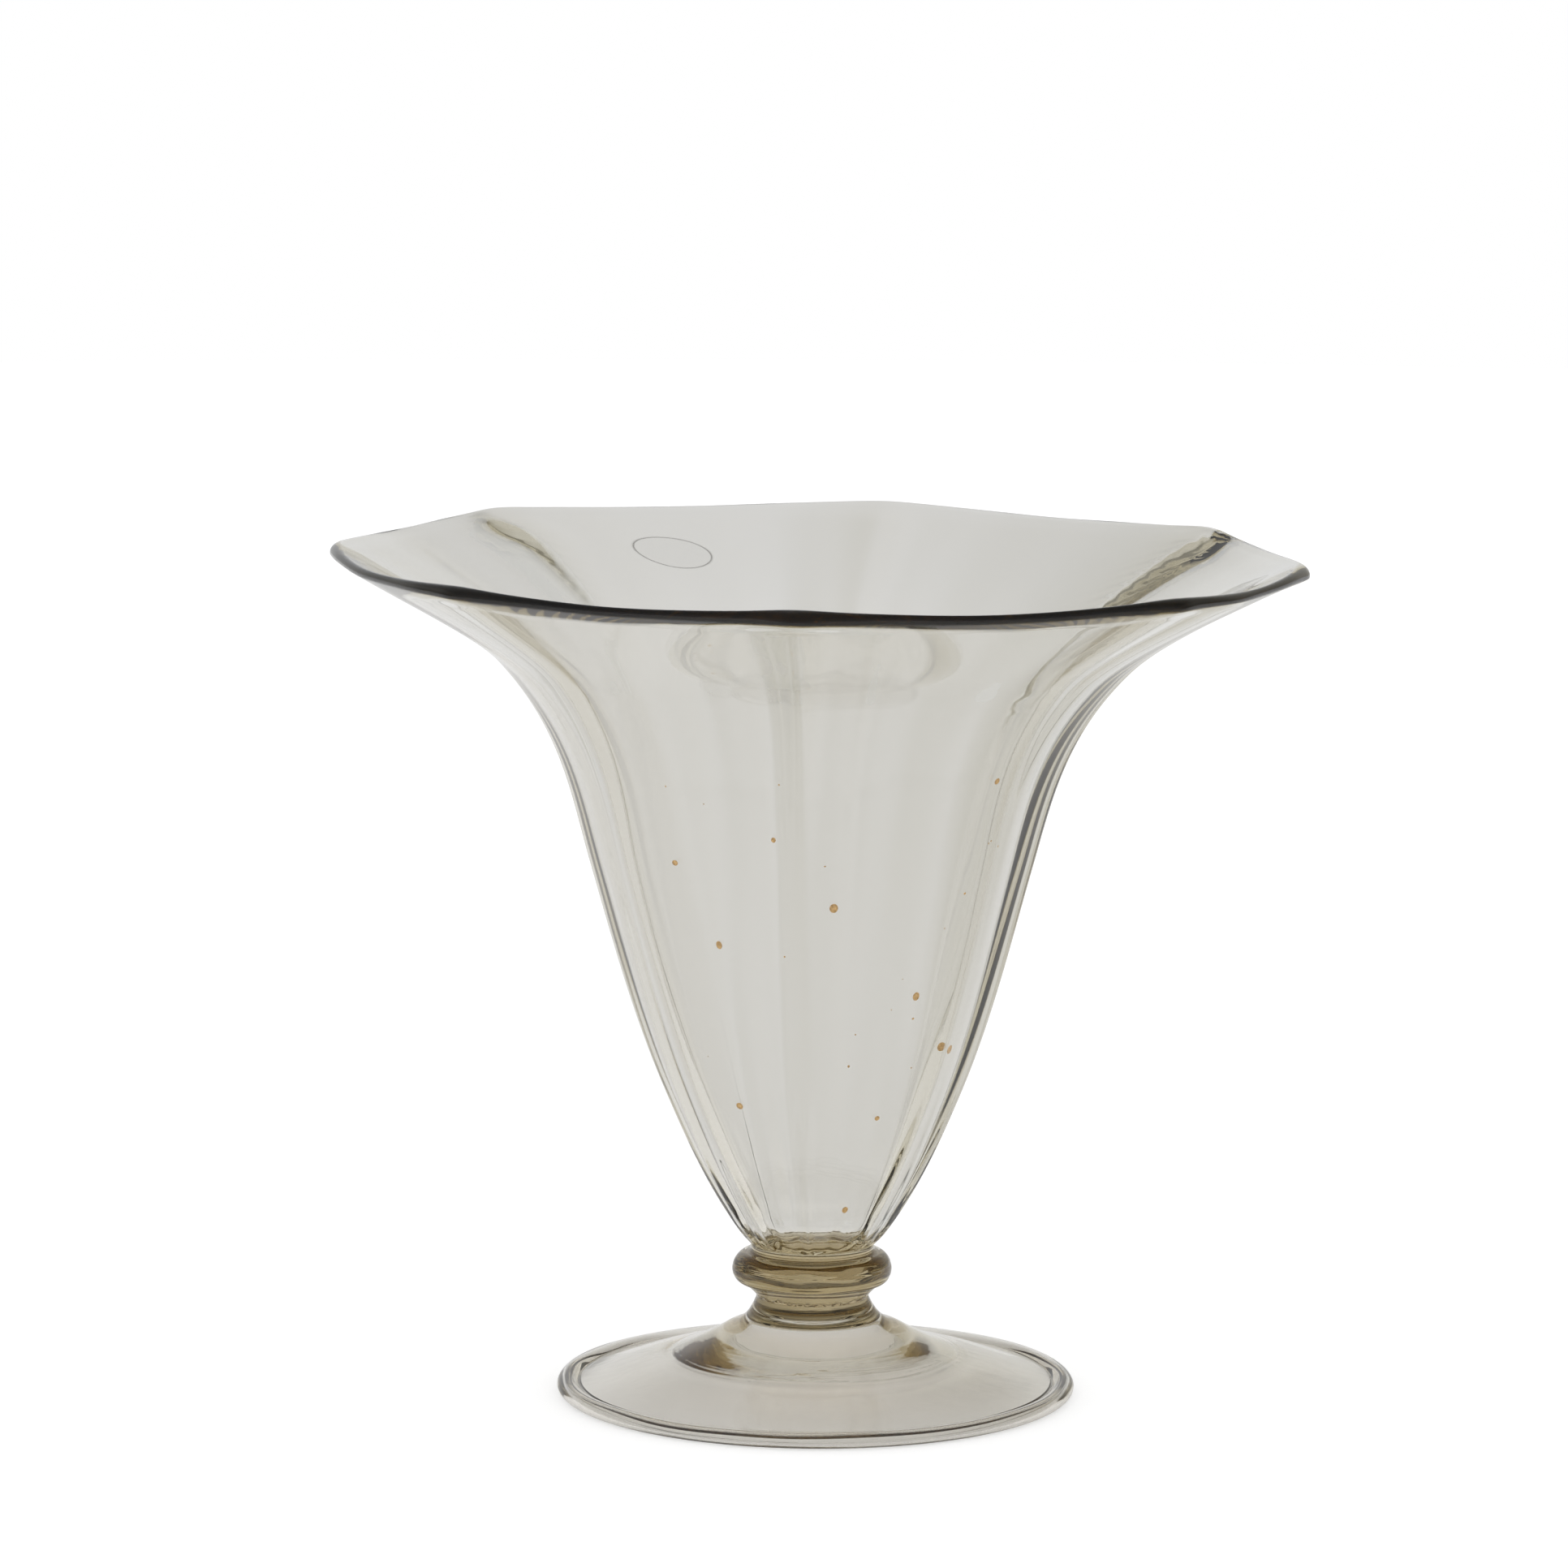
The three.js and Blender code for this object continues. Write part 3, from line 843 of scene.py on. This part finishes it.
def make_specks():
    """Amber specks in the near wall, glowing with painted light: flat lenses, a few at the places seen and
    the rest scattered by a seed.

    A lens reaches out as the sine of a quarter turn from its middle, and bulges as the cosine.
    """
    draw = np.random.default_rng(SPECK_SEED)
    bearings, rises, sizes = (
        np.concatenate([SPECKS_SEEN[:, column], draw.uniform(*span, SPECKS_SCATTERED)])
        for column, span in enumerate((SPECK_BEARINGS, SPECK_RISES, SPECK_WIDTHS))
    )
    bearings = np.radians(bearings)
    talls = draw.uniform(*SPECK_TALLNESS, len(sizes))
    quarter = np.linspace(0, np.pi / 2, SPECK_ROWS)
    reach, bulge = np.sin(quarter), np.cos(quarter)
    lenses = [
        oval(bearing, rise, size / hermite(BOWL_STATIONS, rise)[0], size * tall, 0,
             SPECK_DEPTH - size * bulge / 2, SPECK_DEPTH + size * bulge / 2, reach)
        for bearing, rise, size, tall in zip(bearings, rises, sizes, talls)
    ]
    specks = skin("glass_specks", *lenses)
    material, tree = new_material("amber_specks")
    surface = tree.nodes["Principled BSDF"]
    surface.inputs["Roughness"].default_value = SPECK_ROUGHNESS
    noise = tree.nodes.new("ShaderNodeTexNoise")
    noise.inputs["Scale"].default_value = SPECK_GRAIN
    tree.links.new(tree.nodes.new("ShaderNodeTexCoord").outputs["Object"], noise.inputs["Vector"])
    amber = graded(tree, noise.outputs["Fac"], SPECK_COLOURS)
    tree.links.new(amber, surface.inputs["Base Color"])
    # Painted light: the specks glow in their own amber, so that they show bright inside the glass
    tree.links.new(amber, surface.inputs["Emission Color"])
    surface.inputs["Emission Strength"].default_value = SPECK_PAINTED_GLOW
    specks.data.materials.append(material)
    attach(specks, "root")


def make_collar(material):
    """Ring whose section is flat below, inside and above, where it is fused, and round outside.

    Threads are grooves with a bell-shaped section whose height sways round the axis.
    """
    bore = CORE_RADIUS + WELD_GAP
    low, top = SHOULDER_HEIGHT + WELD_GAP, SEAT_HEIGHT
    widest = SHOULDER_HEIGHT + COLLAR_LOWER_HEIGHT
    lower = ellipse_arc(
        SHOULDER_RADIUS, widest, COLLAR_RADIUS - SHOULDER_RADIUS, widest - low, -np.pi / 2, 0,
        COLLAR_LOWER_STEPS,
    )
    upper = ellipse_arc(
        COLLAR_TOP_RADIUS, widest, COLLAR_RADIUS - COLLAR_TOP_RADIUS, top - widest, 0, COLLAR_TOP_TURN,
        COLLAR_UPPER_STEPS,
    )
    weld_rise = np.linspace(WELD_RISE, 0, WELD_STEPS + 1)
    weld = np.stack([hermite(BOWL_STATIONS, weld_rise)[0] + WELD_GAP, top + weld_rise], axis=1)
    fillet = quadratic(upper[-1], (weld[-1, 0] + COLLAR_FILLET, top), weld[0], COLLAR_FILLET_STEPS)
    outline = np.concatenate([[(bore, low)], lower, upper[1:], fillet, weld[1:], [(bore, top)]])
    proud = smooth((outline[:, 0, None] - SHOULDER_RADIUS) / (COLLAR_RADIUS - SHOULDER_RADIUS))
    travel = (outline[:, 1, None] - low) / (top - low)
    swell = -COLLAR_SWAY * proud * (1 + sway(BEARINGS, travel, *COLLAR_PATTERN))
    for turn, depth, pattern in zip(THREAD_TURNS, THREAD_DEPTH, THREAD_PATTERNS):
        reach = widest - low if turn < 0 else top - widest
        thread = widest + reach * np.sin(turn) + THREAD_SWAY * sway(BEARINGS, 0, *pattern)
        swell = swell - depth * (proud > 0) * bell(outline[:, 1, None] - thread, THREAD_WIDTH)
    welded = np.zeros(len(outline), dtype=bool)
    welded[0] = True
    welded[-WELD_STEPS - 2:] = True
    dress(skin("collar_ring", shell(turned(outline, swell), welded)), "collar", material)


def make_stem(material):
    """Solid spool: neck with a wavy seam, a cone that opens to the shoulder, and the core inside the collar.

    The seam is a groove with a bell-shaped section whose height and depth sway round the axis.
    """
    neck = (NECK_RADIUS, NECK_HEIGHT)
    cone_corner = (NECK_RADIUS, NECK_HEIGHT + NECK_FILLET)
    cone = quadratic(neck, cone_corner, (SHOULDER_RADIUS, SHOULDER_HEIGHT), CONE_STEPS)
    outline = np.concatenate([
        [(0, NECK_HEIGHT + WELD_GAP), (NECK_RADIUS, NECK_HEIGHT + WELD_GAP)],
        cone,
        [(CORE_RADIUS, SHOULDER_HEIGHT), (CORE_RADIUS, SEAT_HEIGHT), (0, SEAT_HEIGHT)],
    ])
    seam_height = NECK_HEIGHT + SEAM_RISE + SEAM_SWAY * (1 + sway(BEARINGS, 0, *SEAM_PATTERN))
    on_cone = (np.arange(len(outline)) > 1) & (np.arange(len(outline)) < len(cone))
    depth = SEAM_DEPTH * (1 + SEAM_DEPTH_SWAY * sway(BEARINGS, 0, *SEAM_DEPTH_PATTERN))
    swell = on_cone[:, None] * -depth * bell(outline[:, 1, None] - seam_height, SEAM_WIDTH)
    welded = np.zeros(len(outline) - 1, dtype=bool)
    welded[[0, -3, -2, -1]] = True
    dress(skin("stem_spool", shell(turned(outline, swell), welded)), "stem", material)


def foot_outline():
    """Outline of the foot as rows of (radius, height), and which rows are in the hollow and on the top.

    It goes from the middle of the hollow, round the bead, and over the top to the middle of the seat. The
    hollow follows the dish a wall's thickness down and closes in a dome.
    """
    stations = np.vstack([FOOT_STATIONS, [SHEET_END, FOLD_MIDDLE + EDGE_WALL / 2, DISH_END_FALL]])
    dish = stations[2:]
    below = np.vstack([HOLLOW_STATIONS, dish])
    below[: len(HOLLOW_STATIONS), 1] += NECK_HEIGHT - CROWN_THICKNESS
    below[len(HOLLOW_STATIONS):, 1] -= FOOT_WALL * np.hypot(1, dish[:, 2])
    below[-1, 1] = FOLD_MIDDLE - EDGE_WALL / 2
    across = np.concatenate([
        np.linspace(SHEET_END, SHEET_END - GROOVE_ZONE, GROOVE_STEPS, endpoint=False),
        np.linspace(SHEET_END - GROOVE_ZONE, NECK_RADIUS, DISH_STEPS),
    ])
    top = np.stack([across, hermite(stations, across)[0]], axis=1)
    under_across = np.linspace(0, SHEET_END, HOLLOW_STEPS)
    hollow = np.stack([under_across, hermite(below, under_across)[0]], axis=1)
    fold = (FOLD_RADIUS, FOLD_MIDDLE, FOLD_WIDTH / 2, FOLD_HEIGHT / 2)
    outline = np.concatenate([
        hollow[:-1],
        ellipse_arc(*fold, -np.pi + FOLD_TUCK, -np.pi + FOLD_REST, TUCK_STEPS),
        ellipse_arc(*fold, -FOLD_REST, np.pi - FOLD_TUCK, FOLD_STEPS),
        top[1:],
        [(0, NECK_HEIGHT)],
    ])
    row = np.arange(len(outline))
    in_hollow = row < len(hollow)
    on_top = (row > len(outline) - len(top)) & (outline[:, 0] > NECK_RADIUS)
    return outline, in_hollow[:, None], on_top[:, None]


def foot_ripple(radius):
    """Ripple of the foot's top: rings, less a crease and a groove with bell-shaped sections.

    The rings are seeded sines along the radius that drift round the axis and fade in places.
    """
    inner, outer = RING_SPAN
    window = smooth((radius - inner) / RING_SPAN_FADE) * smooth((outer - radius) / RING_SPAN_FADE)
    draw = np.random.default_rng(RING_SEED)
    rings = 0
    for step in draw.uniform(*RING_STEPS, RING_COUNT):
        drift = RING_DRIFT * sway(BEARINGS, 0, draw.integers(RING_DRIFT_SEEDS), RING_DRIFT_TURNS, 0)
        rings = rings + np.sin(2 * np.pi * radius / step + drift + draw.uniform(0, 2 * np.pi))
    shown, varied = RING_SHOWN
    fade = shown + varied * sway(BEARINGS, radius / FOOT_RADIUS, *RING_PATTERN)
    ripple = RING_DEPTH * window * rings * fade
    crease_radius = CREASE_RADIUS * (1 + CREASE_SWAY * sway(BEARINGS, 0, *CREASE_PATTERN))
    ripple = ripple - CREASE_DEPTH * bell(radius - crease_radius, CREASE_WIDTH)
    return ripple - GROOVE_DEPTH * bell(radius - SHEET_END + GROOVE_OFFSET, GROOVE_WIDTH)


def make_foot(material):
    """Bell and dish with a bead folded at the edge, a rippled top, a leaning hollow and air inside the bead.

    The hollow leans by the cosine of the bearing, and the dish and bead sway up and down round the axis.
    """
    outline, in_hollow, on_top = foot_outline()
    radius, height = outline[:, 0, None], outline[:, 1, None]
    grid = turned(outline)
    lean_start, lean_end = LEAN_SPAN
    leaning = smooth((radius - lean_start) / (lean_end - lean_start))
    leaning = leaning * np.clip((SHEET_END - radius) / (SHEET_END - lean_end), 0, 1)
    grid[..., 2] += in_hollow * HOLLOW_LEAN * leaning * np.cos(BEARINGS)
    lifted = smooth((radius - FOOT_SWAY_START) / FOOT_SWAY_WIDTH) * np.clip(height / FOOT_SWAY_RISE, 0, 1)
    grid[..., 2] += on_top * foot_ripple(radius) + lifted * FOOT_SWAY * sway(BEARINGS, 0, *FOOT_PATTERN)
    welded = np.zeros(len(outline) - 1, dtype=bool)
    welded[-1] = True
    out, up = CHANNEL_OFFSET
    middle = (FOLD_RADIUS + out, FOLD_MIDDLE + up)
    channel = ellipse_arc(*middle, *CHANNEL_SIZE, 2 * np.pi, 0, CHANNEL_STEPS)[:-1]
    air = turned(channel, CHANNEL_SWAY * sway(BEARINGS, 0, *CHANNEL_PATTERN))
    no_weld = np.zeros(len(channel), dtype=bool)
    dress(skin("foot_folded", shell(grid, welded), shell(air, no_weld)), "foot", material)


def make_floor():
    """Pale floor round the vase, white to the camera.

    Glass shows it a shade darker, with a painted pool of warm light close to the foot and painted light that
    falls off to the right, and mirrors it as one grey.
    """
    bpy.ops.mesh.primitive_circle_add(vertices=FLOOR_STEPS, radius=FLOOR_RADIUS, fill_type="NGON")
    floor = bpy.context.object
    floor.data.transform(Matrix.Translation((0, 0, -FLOOR_GAP)))
    floor.name = "floor"
    material, tree = new_material("floor_paper")
    surface = tree.nodes["Principled BSDF"]
    surface.inputs["Base Color"].default_value = FLOOR_PAPER
    surface.inputs["Roughness"].default_value = 1.0
    surface.inputs["Specular IOR Level"].default_value = 0.0
    surface.inputs["Emission Strength"].default_value = 1.0
    path = tree.nodes.new("ShaderNodeLightPath").outputs
    place = tree.nodes.new("ShaderNodeTexCoord").outputs["Object"]
    distance = tree.nodes.new("ShaderNodeVectorMath")
    distance.operation = "LENGTH"
    tree.links.new(place, distance.inputs[0])
    # Painted pool of light round the foot, fading with distance, seen only by glass
    painted_pool = graded(tree, distance.outputs["Value"], FLOOR_PAINTED_POOL)
    reflected = worked_out(tree, "SUBTRACT", path["Is Glossy Ray"], path["Is Transmission Ray"])
    in_mirror = mixed(tree, reflected, painted_pool, MIRRORED_FLOOR)
    # Painted light on the floor, lighter to the left and falling off to the right, seen only by glass
    aside = share_between(tree, axes(tree, place)["X"], -PAINTED_SLANT_SPAN, PAINTED_SLANT_SPAN)
    painted_for_glass = mixed(tree, 1.0, in_mirror, graded(tree, aside, SLANT_PAINTED_LIGHT), "ADD")
    glow = mixed(tree, path["Is Camera Ray"], painted_for_glass, CAMERA_GLOW)
    tree.links.new(glow, surface.inputs["Emission Color"])
    floor.data.materials.append(material)


def cool(levels):
    """Rows of (place, cool white) from rows of (place, level)."""
    return [(place, COOL_WHITE * level) for place, level in levels]


def make_light():
    """White studio for the camera and for the floor.

    Glass shows its paper a shade darker, its sides warmer, and mirrors a dim room on the camera's side.
    """
    world = bpy.data.worlds.new("studio")
    bpy.context.scene.world = world
    world.use_nodes = True
    tree = world.node_tree
    path = tree.nodes.new("ShaderNodeLightPath").outputs
    x, y, z = axes(tree, tree.nodes.new("ShaderNodeTexCoord").outputs["Generated"])
    height = share_between(tree, z, -1.0, 1.0)
    side = graded(tree, share_between(tree, x, -1.0, 1.0), SIDE_COLOURS)
    paper = mixed(tree, 1.0, graded(tree, height, cool(PAPER_LEVELS)), side, "MULTIPLY")
    front = share_between(tree, y, FRONT_BLEND, -FRONT_BLEND, "SMOOTHSTEP")
    dimmed = worked_out(tree, "MULTIPLY", front, path["Is Glossy Ray"])
    glass_view = mixed(tree, dimmed, paper, graded(tree, height, cool(MIRRORED_LEVELS)))
    seen_by_glass = worked_out(tree, "ADD", path["Is Glossy Ray"], path["Is Transmission Ray"])
    not_lighting = worked_out(tree, "LESS_THAN", path["Diffuse Depth"], LIGHTING_DEPTH)
    shade = worked_out(tree, "MULTIPLY", seen_by_glass, not_lighting)
    tree.links.new(mixed(tree, shade, WHITE, glass_view), tree.nodes["Background"].inputs["Color"])


def make_camera():
    """Camera at the photograph's distance and height, turned, tilted and rolled as its frame was."""
    data = bpy.data.cameras.new("camera")
    data.sensor_width = SENSOR_WIDTH
    data.lens = SENSOR_WIDTH * FOCAL_PIXELS / FRAME_PIXELS
    data.clip_end = CAMERA_REACH
    camera = bpy.data.objects.new("camera", data)
    bpy.context.scene.collection.objects.link(camera)
    camera.matrix_world = (
        Matrix.Translation((0, -CAMERA_DISTANCE, CAMERA_HEIGHT))
        @ Matrix.Rotation(CAMERA_TURN, 4, "Z")
        @ Matrix.Rotation(np.pi / 2 - CAMERA_TILT, 4, "X")
        @ Matrix.Rotation(CAMERA_ROLL, 4, "Z")
    )
    bpy.context.scene.camera = camera


scene = bpy.context.scene
scene.view_settings.view_transform = "Standard"
scene.cycles.max_bounces = GLASS_BOUNCES
scene.cycles.transmission_bounces = GLASS_BOUNCES
scene.cycles.glossy_bounces = GLASS_BOUNCES
scene.cycles.transparent_max_bounces = WELD_BOUNCES

make_camera()
make_bowl(straw_glass("bowl_glass", *BOWL_GLASS))
make_sticker()
make_specks()
make_collar(straw_glass("collar_glass", *COLLAR_GLASS))
make_stem(straw_glass("stem_glass", *STEM_GLASS))
make_foot(straw_glass("foot_glass", *FOOT_GLASS))
make_floor()
make_light()
